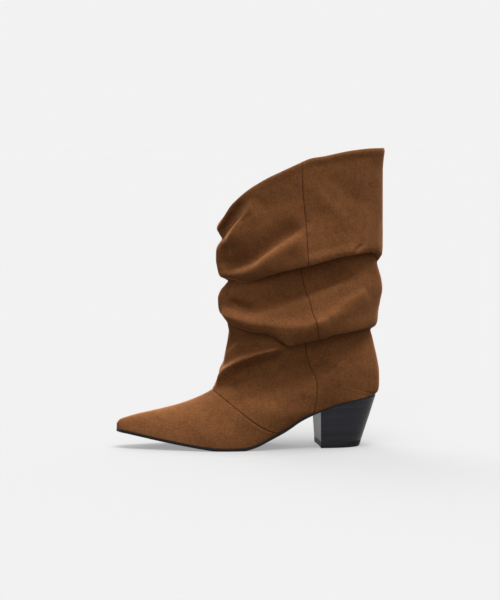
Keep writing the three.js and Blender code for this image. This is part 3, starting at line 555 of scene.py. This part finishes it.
def suede_material():
    m, tree, bsdf = material("brown_suede")
    place = node(tree, "ShaderNodeTexCoord").outputs["Object"]
    # broad tone changes where the nap lies differently, then the grain of the nap itself
    cloudy = node(tree, "ShaderNodeTexNoise", {"Vector": place, "Scale": 30.0, "Detail": 3.0, "Roughness": 0.55})
    patches = node(tree, "ShaderNodeTexNoise", {"Vector": place, "Scale": 170.0, "Detail": 3.0, "Roughness": 0.6})
    nap = node(tree, "ShaderNodeTexNoise", {"Vector": place, "Scale": 850.0, "Detail": 2.0, "Roughness": 0.8})
    tone = node(tree, "ShaderNodeMath", {0: cloudy.outputs[0], 1: 0.30}, operation="MULTIPLY")
    tone2 = node(tree, "ShaderNodeMath", {0: patches.outputs[0], 1: 0.30}, operation="MULTIPLY")
    tone3 = node(tree, "ShaderNodeMath", {0: nap.outputs[0], 1: 1.05}, operation="MULTIPLY")
    s1 = node(tree, "ShaderNodeMath", {0: tone.outputs[0], 1: tone2.outputs[0]}, operation="ADD")
    s2 = node(tree, "ShaderNodeMath", {0: s1.outputs[0], 1: tone3.outputs[0]}, operation="ADD")
    ramp = node(tree, "ShaderNodeValToRGB", {"Fac": s2.outputs[0]})
    e = ramp.color_ramp.elements
    e[0].position, e[0].color = 0.535, (0.074, 0.0266, 0.0084, 1)
    e[1].position, e[1].color = 1.0, (0.184, 0.0710, 0.0240, 1)
    # the cut edge at a seam reads as a thin dark line
    seam = node(tree, "ShaderNodeAttribute", attribute_name="seam")
    near = node(
        tree, "ShaderNodeMapRange", {"Value": seam.outputs["Fac"], "From Min": 0.1, "From Max": 0.6, "To Min": 0.3, "To Max": 1.0}
    )
    dark = node(tree, "ShaderNodeMix", data_type="RGBA", blend_type="MULTIPLY")
    dark.inputs["Factor"].default_value = 1.0
    tree.links.new(ramp.outputs[0], dark.inputs[6])
    tree.links.new(near.outputs[0], dark.inputs[7])
    # painted sheen: the base colour is made lighter where the surface is seen from the side, standing in for the rim
    # light on the nap
    grazing = node(tree, "ShaderNodeLayerWeight", {"Blend": 0.5})
    steep = node(tree, "ShaderNodeMath", {0: grazing.outputs["Facing"], 1: 4.0}, operation="POWER")
    # only on faces that turn up towards the overhead light, so the painted sheen stays off shaded undersides
    facing = node(tree, "ShaderNodeSeparateXYZ", {0: node(tree, "ShaderNodeTexCoord").outputs["Normal"]})
    up_facing_lit = node(tree, "ShaderNodeMapRange", {"Value": facing.outputs[2], "From Min": -0.35, "From Max": 0.15})
    lit_rim_share = node(tree, "ShaderNodeMath", {0: steep.outputs[0], 1: up_facing_lit.outputs[0]}, operation="MULTIPLY")
    rim_sheen_gain = node(tree, "ShaderNodeMath", {0: lit_rim_share.outputs[0], 1: 2.2, 2: 1.0}, operation="MULTIPLY_ADD")
    # painted rim highlight, multiplied into the base colour
    painted_rim_sheen = node(tree, "ShaderNodeMix", data_type="RGBA", blend_type="MULTIPLY", clamp_result=False)
    painted_rim_sheen.inputs["Factor"].default_value = 1.0
    tree.links.new(dark.outputs[2], painted_rim_sheen.inputs[6])
    tree.links.new(rim_sheen_gain.outputs[0], painted_rim_sheen.inputs[7])
    tree.links.new(painted_rim_sheen.outputs[2], bsdf.inputs["Base Color"])
    fine = node(tree, "ShaderNodeTexNoise", {"Vector": place, "Scale": 1500.0, "Detail": 2.0, "Roughness": 0.6})
    h = node(tree, "ShaderNodeMath", {0: fine.outputs[0], 1: nap.outputs[0]}, operation="ADD")
    bump = node(tree, "ShaderNodeBump", {"Height": h.outputs[0], "Strength": 0.35, "Distance": 0.0006})
    tree.links.new(bump.outputs[0], bsdf.inputs["Normal"])
    bsdf.inputs["Roughness"].default_value = 0.96
    bsdf.inputs["Specular IOR Level"].default_value = 0.12
    bsdf.inputs["Sheen Weight"].default_value = 0.60
    bsdf.inputs["Sheen Roughness"].default_value = 0.24
    bsdf.inputs["Sheen Tint"].default_value = (0.92, 0.50, 0.26, 1)
    return m


def plain_material(name, color, roughness, specular=0.4, bump=None):
    m, tree, bsdf = material(name)
    bsdf.inputs["Base Color"].default_value = (*color, 1)
    bsdf.inputs["Roughness"].default_value = roughness
    bsdf.inputs["Specular IOR Level"].default_value = specular
    if bump:
        scale, strength, distance = bump
        place = node(tree, "ShaderNodeTexCoord").outputs["Object"]
        n = node(tree, "ShaderNodeTexNoise", {"Vector": place, "Scale": scale, "Detail": 3.0})
        b = node(tree, "ShaderNodeBump", {"Height": n.outputs[0], "Strength": strength, "Distance": distance})
        tree.links.new(b.outputs[0], bsdf.inputs["Normal"])
    return m


def heel_material():
    """Black stained layers, with a fine line between one layer and the next, and painted shade towards the ground."""
    m, tree, bsdf = material("stacked_heel_black")
    place = node(tree, "ShaderNodeTexCoord").outputs["Object"]
    wobble = node(tree, "ShaderNodeTexNoise", {"Vector": place, "Scale": 45.0, "Detail": 2.0})
    xyz = node(tree, "ShaderNodeSeparateXYZ", {0: place})
    bend = node(tree, "ShaderNodeMath", {0: wobble.outputs[0], 1: 0.0009}, operation="MULTIPLY")
    height = node(tree, "ShaderNodeMath", {0: xyz.outputs[2], 1: bend.outputs[0]}, operation="ADD")
    layer = node(tree, "ShaderNodeMath", {0: height.outputs[0], 1: 0.0031}, operation="DIVIDE")
    part = node(tree, "ShaderNodeMath", {0: layer.outputs[0]}, operation="FRACT")
    off = node(tree, "ShaderNodeMath", {0: part.outputs[0], 1: 0.5}, operation="SUBTRACT")
    edge = node(tree, "ShaderNodeMath", {0: off.outputs[0]}, operation="ABSOLUTE")
    line = node(tree, "ShaderNodeMapRange", {"Value": edge.outputs[0], "From Min": 0.40, "From Max": 0.5, "To Min": 1.0, "To Max": 0.0})
    floor_ = node(tree, "ShaderNodeMath", {0: layer.outputs[0]}, operation="FLOOR")
    each = node(tree, "ShaderNodeTexWhiteNoise", {"W": floor_.outputs[0]}, noise_dimensions="1D")
    grain = node(tree, "ShaderNodeMapping", {"Vector": place, "Scale": (1.0, 1.0, 9.0)})
    fibre = node(tree, "ShaderNodeTexNoise", {"Vector": grain.outputs[0], "Scale": 160.0, "Detail": 4.0})
    a = node(tree, "ShaderNodeMath", {0: each.outputs[0], 1: 0.45}, operation="MULTIPLY")
    b = node(tree, "ShaderNodeMath", {0: fibre.outputs[0], 1: 0.55}, operation="MULTIPLY")
    tone = node(tree, "ShaderNodeMath", {0: a.outputs[0], 1: b.outputs[0]}, operation="ADD")
    ramp = node(tree, "ShaderNodeValToRGB", {"Fac": tone.outputs[0]})
    ramp.color_ramp.elements[0].position, ramp.color_ramp.elements[0].color = 0.2, (0.0092, 0.0088, 0.0138, 1)
    ramp.color_ramp.elements[1].position, ramp.color_ramp.elements[1].color = 0.9, (0.0240, 0.0228, 0.0330, 1)
    dark = node(tree, "ShaderNodeMix", data_type="RGBA", blend_type="MULTIPLY")
    dark.inputs["Factor"].default_value = 0.7
    tree.links.new(ramp.outputs[0], dark.inputs[6])
    tree.links.new(line.outputs[0], dark.inputs[7])
    # painted shade: the colour darkens towards the ground, where less light reaches the heel
    heel_low_shade = node(tree, "ShaderNodeMapRange", {"Value": xyz.outputs[2], "From Min": 0.004, "From Max": 0.042, "To Min": 0.62, "To Max": 1.0})
    painted_heel_shade = node(tree, "ShaderNodeMix", data_type="RGBA", blend_type="MULTIPLY")
    painted_heel_shade.inputs["Factor"].default_value = 1.0
    tree.links.new(dark.outputs[2], painted_heel_shade.inputs[6])
    tree.links.new(heel_low_shade.outputs[0], painted_heel_shade.inputs[7])
    tree.links.new(painted_heel_shade.outputs[2], bsdf.inputs["Base Color"])
    h = node(tree, "ShaderNodeMath", {0: line.outputs[0], 1: fibre.outputs[0]}, operation="ADD")
    bump = node(tree, "ShaderNodeBump", {"Height": h.outputs[0], "Strength": 0.5, "Distance": 0.00022})
    tree.links.new(bump.outputs[0], bsdf.inputs["Normal"])
    bsdf.inputs["Roughness"].default_value = 0.34
    bsdf.inputs["Specular IOR Level"].default_value = 0.27
    return m


SUEDE = suede_material()
# collar edge in the lightest suede tone: a painted highlight where the rounded rim catches the light
COLLAR_EDGE_HIGHLIGHT = plain_material("brown_collar_edge_painted_highlight", (0.185, 0.078, 0.030), 0.95, 0.1)
LINING = plain_material("tan_lining", (0.30, 0.17, 0.085), 0.75, 0.25, (320.0, 0.25, 0.0003))
SOCK = plain_material("tan_sock", (0.33, 0.20, 0.11), 0.6, 0.3, (420.0, 0.2, 0.0002))
SOLE = plain_material("black_sole", (0.006, 0.006, 0.0065), 0.45, 0.2, (700.0, 0.15, 0.0002))
LIFT = plain_material("black_lift", (0.0085, 0.0084, 0.0096), 0.6, 0.16, (900.0, 0.2, 0.0002))
HEEL = heel_material()

# ------------------------------------------------------------------ upper: vamp, front panel, back panel
STEP = 1.15
ROWS = fine_rows(STEP, fine_at=(VAMP_ROW,))
SEAM_SHARE = {s: seam_share(s, ROWS) for s in SIDES}
NEAR_SEAM = np.array([0.003, 0.007, 0.012, 0.019, 0.028])


def panel_columns(n, at_start):
    """Even columns, closer together at the end that has the side seam."""
    u = np.linspace(0, 1, n)
    u = np.unique(np.round(np.concatenate([u, NEAR_SEAM if at_start else 1 - NEAR_SEAM]), 5))
    return u


def half_panel(side, rows, start, end, columns, seam_on, row_seam=None):
    """One half of a panel: rows x columns between two shares. seam_on: which column end is the side seam."""
    q = np.repeat(rows[:, None], len(columns), 1)
    share = start[:, None] + (end - start)[:, None] * columns[None, :]
    x, y, z, _, _ = base(side, q, share)
    p = np.stack([x, y, z], -1)
    d = along_rows(p)
    far = np.full(q.shape, 99.0)
    if seam_on == "end":
        on_seam = (end < 0.9995)[:, None]
        far = np.where(on_seam, d[:, -1:] - d, 99.0)
    elif seam_on == "start":
        far = d
    if row_seam is not None:
        up = along_columns(p)
        k = int(np.argmin(np.abs(rows - row_seam)))
        far = np.minimum(far, np.abs(up - up[k : k + 1]))
    top = rows[-1] >= N_ROWS - 1.001
    extra = None
    if top:
        up = along_columns(p)
        to_rim = up[-1:] - up
        # turned hem: two layers for 7 mm below the collar edge, rounded in at the edge
        extra = 0.3 * smooth((9.0 - to_rim) / 5.0) - 0.7 * np.exp(-((to_rim / 0.9) ** 2))
    pts, fold = skin(side, q, share, far, extra)
    return pts, far, fold


def panel(name, rows, starts, ends, n, seam_on, row_seam=None):
    pts, faces, far, fold, count = [], [], [], [], 0
    columns = panel_columns(n, seam_on == "start")
    for side in SIDES:
        p, f, c = half_panel(side, rows, starts[side], ends[side], columns, seam_on, row_seam)
        faces.append(grid_faces(len(rows), len(columns), side == "inner") + count)
        count += p.shape[0] * p.shape[1]
        pts.append(p.reshape(-1, 3))
        far.append(f.ravel())
        fold.append(c.ravel())
    points, face_list, attrs = weld(
        np.vstack(pts), np.vstack(faces), {"seam": np.concatenate(far), "fold": np.concatenate(fold)}
    )
    ob = mesh_of(name, points, face_list, SUEDE, attrs)
    return belongs(ob, "suede", "upper")


k = int(np.argmin(np.abs(ROWS - VAMP_ROW)))
vamp_rows, front_rows = ROWS[: k + 1], ROWS[k:]
zero = {s: np.zeros(len(ROWS)) for s in SIDES}
panel(
    "vamp", vamp_rows, {s: zero[s][: k + 1] for s in SIDES}, {s: np.ones(k + 1) for s in SIDES}, 92, "none", VAMP_ROW
)
panel(
    "front_shaft_panel", front_rows, {s: zero[s][k:] for s in SIDES}, {s: SEAM_SHARE[s][k:] for s in SIDES}, 76, "end", VAMP_ROW
)
first = min(int(np.nonzero(SEAM_SHARE[s] < 0.9999)[0][0]) for s in SIDES) - 1
panel(
    "back_shaft_panel",
    ROWS[first:],
    {s: SEAM_SHARE[s][first:] for s in SIDES},
    {s: np.ones(len(ROWS) - first) for s in SIDES},
    66,
    "start",
)


# ------------------------------------------------------------------ lining and collar edge
def ring_normals(points, faces, passes):
    """Vertex normals, averaged over the neighbours a few times."""
    tri = np.array([[f[0], f[1], f[2]] for f in faces] + [[f[0], f[2], f[3]] for f in faces if len(f) > 3])
    fn = np.cross(points[tri[:, 1]] - points[tri[:, 0]], points[tri[:, 2]] - points[tri[:, 0]])
    n = np.zeros_like(points)
    for i in range(3):
        np.add.at(n, tri[:, i], fn)
    n /= np.maximum(np.linalg.norm(n, axis=1, keepdims=True), 1e-9)
    e = np.vstack([tri[:, [0, 1]], tri[:, [1, 2]], tri[:, [2, 0]]])
    e = np.vstack([e, e[:, ::-1]])
    deg = np.bincount(e[:, 0], minlength=len(points))[:, None]
    for _ in range(passes):
        s = np.zeros_like(n)
        np.add.at(s, e[:, 0], n[e[:, 1]])
        n = 1.2 * n + s / np.maximum(deg, 1)
        n /= np.maximum(np.linalg.norm(n, axis=1, keepdims=True), 1e-9)
    return n


def lining():
    rows = fine_rows(3.2)
    columns = np.linspace(0, 1, 45)
    pts, faces, count = [], [], 0
    for side in SIDES:
        q = np.repeat(rows[:, None], len(columns), 1)
        share = np.repeat(columns[None, :], len(rows), 0)
        x, y, z, t, sin = base(side, q, share, lining=True)
        fade = smooth(sin / 0.3) * np.where(q <= HEEL_ROW, np.clip((1 - share) * 5, 0, 1), 1)
        lift = creases(side, x, z) * fade * below_collar(side, z, t)
        p = np.stack([x, y, z], -1) + normals(side, q, share) * (np.minimum(lift, 0) * 1.0 + np.maximum(lift, 0) * 0.5)[..., None]
        faces.append(grid_faces(len(rows), len(columns), side == "inner") + count)
        count += q.size
        pts.append(p.reshape(-1, 3))
    points, face_list, _ = weld(np.vstack(pts), np.vstack(faces), {})
    n = ring_normals(points, face_list, 6)
    inside = points - n * (WALL + 0.1)
    ob = mesh_of("shaft_lining", inside, [f[::-1] for f in face_list], LINING)
    belongs(ob, "lining")


lining()


def collar_edge():
    """Rounded edge over the top, from the outer face to the lining."""
    pts, faces, count = [], [], 0
    columns = np.linspace(0, 1, 150)
    for side in SIDES:
        q = np.full(len(columns), N_ROWS - 1.0)
        x, y, z, t, sin = base(side, q, columns)
        n = normals(side, q, columns)
        lift = creases(side, x, z) * smooth(sin / 0.3) * below_collar(side, z, t)
        outside = (lift + ripple(x, y, z) * smooth(sin / 0.3))[:, None]
        within = (np.minimum(lift, 0) + np.maximum(lift, 0) * 0.5)[:, None]
        q2 = np.full(len(columns), N_ROWS - 1.06)
        below = np.stack(base(side, q2, columns)[:3], -1)
        here = np.stack([x, y, z], -1)
        up = here - below
        up -= n * (up * n).sum(-1, keepdims=True)
        up /= np.linalg.norm(up, axis=-1, keepdims=True)
        strip = []
        for a in np.linspace(0, np.pi, 9):
            r = WALL / 2
            share = (1 - np.cos(a)) / 2
            strip.append(here + n * (lerp(outside, within, share) - 0.42 - r + r * np.cos(a)) + up * (r * np.sin(a) - 0.2))
        strip.insert(0, strip[0] - up * 0.6)
        strip.append(strip[-1] - up * 4.0)
        p = np.stack(strip, 0)
        faces.append(grid_faces(p.shape[0], p.shape[1], side == "inner") + count)
        count += p.shape[0] * p.shape[1]
        pts.append(p.reshape(-1, 3))
    points, face_list, attrs = weld(np.vstack(pts), np.vstack(faces), {"seam": np.full(count, 99.0), "fold": np.zeros(count)})
    # the edge takes the lighter suede colour, a painted highlight
    belongs(mesh_of("collar_edge", points, face_list, COLLAR_EDGE_HIGHLIGHT, attrs), "suede")


collar_edge()


# ------------------------------------------------------------------ sole, heel, insole
def loft(loops):
    n = len(loops[0])
    points = np.vstack(loops)
    faces = [
        [i * n + j, i * n + (j + 1) % n, (i + 1) * n + (j + 1) % n, (i + 1) * n + j]
        for i in range(len(loops) - 1)
        for j in range(n)
    ]
    faces.append(list(range(n))[::-1])
    faces.append([(len(loops) - 1) * n + j for j in range(n)])
    return points, faces


def stations(n, first, last):
    """Places along the sole, closer together at both ends."""
    a = np.linspace(0, np.pi, n)
    return first + (last - first) * (1 - np.cos(a)) / 2


def outsole():
    loops = []
    proud = 0.5
    for x in stations(150, TOE_X, SEAT_X):
        end = 0.2 * (1 if x == SEAT_X else -1 if x == TOE_X else 0)
        o, n = float(outer_y(x)) - proud, float(inner_y(x)) + proud
        top, low = float(feather_z(x)), float(under_z(x))
        high = top - low
        w = min(1.0, (n - o) * 0.12)
        side = [(0.45, high), (0.12, high - 0.18), (0, high - 0.55), (0.05, high * 0.45), (0.32, 0.42), (0.7, 0.1), (1.15, 0)]
        loop = [(o + a * w, low + b) for a, b in side] + [(n - a * w, low + b) for a, b in side[::-1]]
        loops.append(np.array([(x + end, y, z) for y, z in loop]))
    points, faces = loft(loops)
    belongs(mesh_of("sole", points, faces, SOLE), "sole", "outsole")


outsole()


def insole():
    loops = []
    inset = WALL + 0.9
    for x in stations(90, TOE_X + 7.5, SEAT_X - inset - 0.8):
        turn = min(1, max(0, (x - 96) / 24))
        into = inset * math.sqrt(1 - turn * turn) + 1.0 * turn + 1.3 * min(1, max(0, (-100 - x) / 20))
        o, n = float(outer_y(x + inset * turn)) + into, float(inner_y(x + inset * turn)) - into
        z = float(feather_z(x)) + GAP
        mid, half = (o + n) / 2, max(1.2, (n - o) / 2)
        loops.append(
            np.array([(x, mid + s * half * w, z + h) for s, w, h in [(-1, 0.96, 2.4), (-1, 1, 1.9), (-1, 1, 0), (1, 1, 0), (1, 1, 1.9), (1, 0.96, 2.4), (0, 0, 2.1)]])
        )
    points, faces = loft(loops)
    belongs(mesh_of("sock", points, faces, SOCK), "sock_lining", "insole")


insole()

HEEL_BOTTOM = 6.06


def heel_loop(level, height, inset=0.0):
    front = lerp(68.8, 68.0, level) + inset
    wide = lerp(24.0, 28.5, level) - inset
    back = lerp(112.0, 126.4, level) - inset
    loop = []
    for kk in np.linspace(-1, 1, 97):
        a = (1 - abs(kk)) * math.pi / 2
        u, w = math.sin(a) ** (2 / 2.7), math.cos(a) ** (2 / 2.7)
        loop.append((front + (back - front) * u, math.copysign(wide * w, kk)))
    for f in np.linspace(1, -1, 25)[1:-1]:
        loop.append((front + 0.5 * (1 - f * f), f * wide))
    loop = np.array(loop)
    # the front face comes forward on the inner side
    loop[:, 0] -= lerp(0.9, 1.7, level) * (loop[:, 1] / wide + 1) / 2 * np.clip((back - loop[:, 0]) / (back - front), 0, 1)
    z = height(loop[:, 0]) if callable(height) else np.full(len(loop), height)
    return np.column_stack([loop, z])


def heel():
    loops = []
    for h, inset in [(0.0, 0.16), (0.005, 0.0), *[(v, 0.0) for v in np.linspace(0.08, 0.94, 16)], (1.0, 0.0)]:
        loops.append(heel_loop(h, lambda x, h=h: lerp(HEEL_BOTTOM, under_z(x) - 0.05, h), inset))
    points, faces = loft(loops)
    ob = mesh_of("stacked_heel", points, faces, HEEL)
    belongs(ob, "stacked_heel", "heel")
    loops = []
    for z, inset in [(0.0, 0.9), (0.25, 0.35), (0.9, 0.05), (1.8, 0.0), (5.8, 0.0), (6.0, 0.14)]:
        p = heel_loop(0, z, inset)
        share = smooth((p[:, 0] - 68.8) / (112.0 - 68.8)) * (1 - smooth(z / 5.0))
        p[:, 0] -= 1.8 * share
        loops.append(p)
    points, faces = loft(loops)
    belongs(mesh_of("heel_lift", points, faces, LIFT), "heel_lift", "top_piece")


heel()

for ob in list(bpy.data.objects):
    if ob.name in ("stacked_heel", "heel_lift", "sole", "sock"):
        for p in ob.data.polygons:
            p.use_smooth = True
        ob.data.set_sharp_from_angle(angle=math.radians(38))

# ------------------------------------------------------------------ floor, light, camera
floor_size = 60.0
bm = bmesh.new()
bmesh.ops.create_grid(bm, x_segments=1, y_segments=1, size=floor_size)
me = bpy.data.meshes.new("floor")
bm.to_mesh(me)
bm.free()
floor = bpy.data.objects.new("floor", me)
bpy.context.scene.collection.objects.link(floor)
m, tree, bsdf = material("pale_floor")
# Studio: a soft light overhead, a softer one above the camera, one from behind for the rims, and a dim room
# that is brighter behind the boot.
# The floor gives back as much light as the backdrop, so that they meet without a line, and a part of it is
# its own glow, which keeps the shadow as light as on a lit studio table.
BACK = 0.888
GLOW = 0.32
OVERHEAD = (Vector((-0.10, 0.165, -0.98)).normalized(), 4.9, 40)
FRONT = (Vector((0.05, 0.86, -0.50)).normalized(), 0.85, 40)
RIM = (Vector((0.32, -0.74, -0.60)).normalized(), 1.3, 40)
ROOM = [(-1.0, 0.20), (-0.03, 0.20), (-0.015, BACK), (0.09, BACK), (0.2, 0.20), (1.0, 0.34)]  # height of the ray, light
BEHIND = 1.8


def room(x, y, z):
    return np.interp(z, *zip(*ROOM)) + BEHIND * np.clip(y, 0, 1) * np.clip((z - 0.1) / 0.2, 0, 1)


height, turn = np.meshgrid((np.arange(400) + 0.5) / 400, (np.arange(180) + 0.5) / 180 * 2 * np.pi)
flat = np.sqrt(1 - height**2)
on_floor = 2 * float(np.mean(room(flat * np.sin(turn), flat * np.cos(turn), height) * height))
on_floor += sum(power * -way.z / math.pi for way, power, _ in (OVERHEAD, FRONT, RIM))
floor_white = (BACK - GLOW) / on_floor
bsdf.inputs["Base Color"].default_value = (floor_white, floor_white, floor_white, 1)
bsdf.inputs["Emission Color"].default_value = (1, 1, 1, 1)
bsdf.inputs["Emission Strength"].default_value = GLOW
bsdf.inputs["Roughness"].default_value = 0.9
bsdf.inputs["Specular IOR Level"].default_value = 0.0
me.materials.append(m)
floor.visible_diffuse = False

world = bpy.data.worlds.new("studio")
world.use_nodes = True
tree = world.node_tree
back = tree.nodes["Background"]
way = node(tree, "ShaderNodeTexCoord").outputs["Generated"]
ray = node(tree, "ShaderNodeSeparateXYZ", {0: way})
share = node(tree, "ShaderNodeMapRange", {"Value": ray.outputs[2], "From Min": -1.0, "From Max": 1.0})
ramp = node(tree, "ShaderNodeValToRGB", {"Fac": share.outputs[0]})
e = ramp.color_ramp.elements
e[0].position, e[0].color = 0, (ROOM[0][1],) * 3 + (1,)
e[1].position, e[1].color = 1, (ROOM[-1][1],) * 3 + (1,)
for at, light in ROOM[1:-1]:
    step = e.new((at + 1) / 2)
    step.color = (light, light, light, 1)
behind = node(tree, "ShaderNodeMapRange", {"Value": ray.outputs[1], "From Min": 0.0, "From Max": 1.0, "To Max": BEHIND})
above = node(tree, "ShaderNodeMapRange", {"Value": ray.outputs[2], "From Min": 0.1, "From Max": 0.3})
more = node(tree, "ShaderNodeMath", {0: behind.outputs[0], 1: above.outputs[0]}, operation="MULTIPLY")
total = node(tree, "ShaderNodeMath", {0: ramp.outputs[0], 1: more.outputs[0]}, operation="ADD")
tree.links.new(total.outputs[0], back.inputs["Color"])
back.inputs["Strength"].default_value = 1.0
bpy.context.scene.world = world


def sun(name, direction, strength, spread):
    data = bpy.data.lights.new(name, "SUN")
    data.energy = strength
    data.angle = math.radians(spread)
    ob = bpy.data.objects.new(name, data)
    ob.rotation_mode = "QUATERNION"
    ob.rotation_quaternion = Vector(direction).to_track_quat("-Z", "Y")
    bpy.context.scene.collection.objects.link(ob)
    return ob


sun("overhead", *OVERHEAD)
sun("front", *FRONT)
sun("rim", *RIM)

cam = bpy.data.objects.new("camera", bpy.data.cameras.new("camera"))
cam.data.lens = 132.35
cam.data.sensor_width = 36
cam.location = (-0.2070, -2.1902, 0.307)
cam.rotation_mode = "QUATERNION"
cam.rotation_quaternion = (Vector((0, 0, 0.147)) - Vector(cam.location)).to_track_quat("-Z", "Y")
cam.data.clip_end = 200
bpy.context.scene.collection.objects.link(cam)
bpy.context.scene.camera = cam
bpy.context.scene.view_settings.view_transform = "Standard"
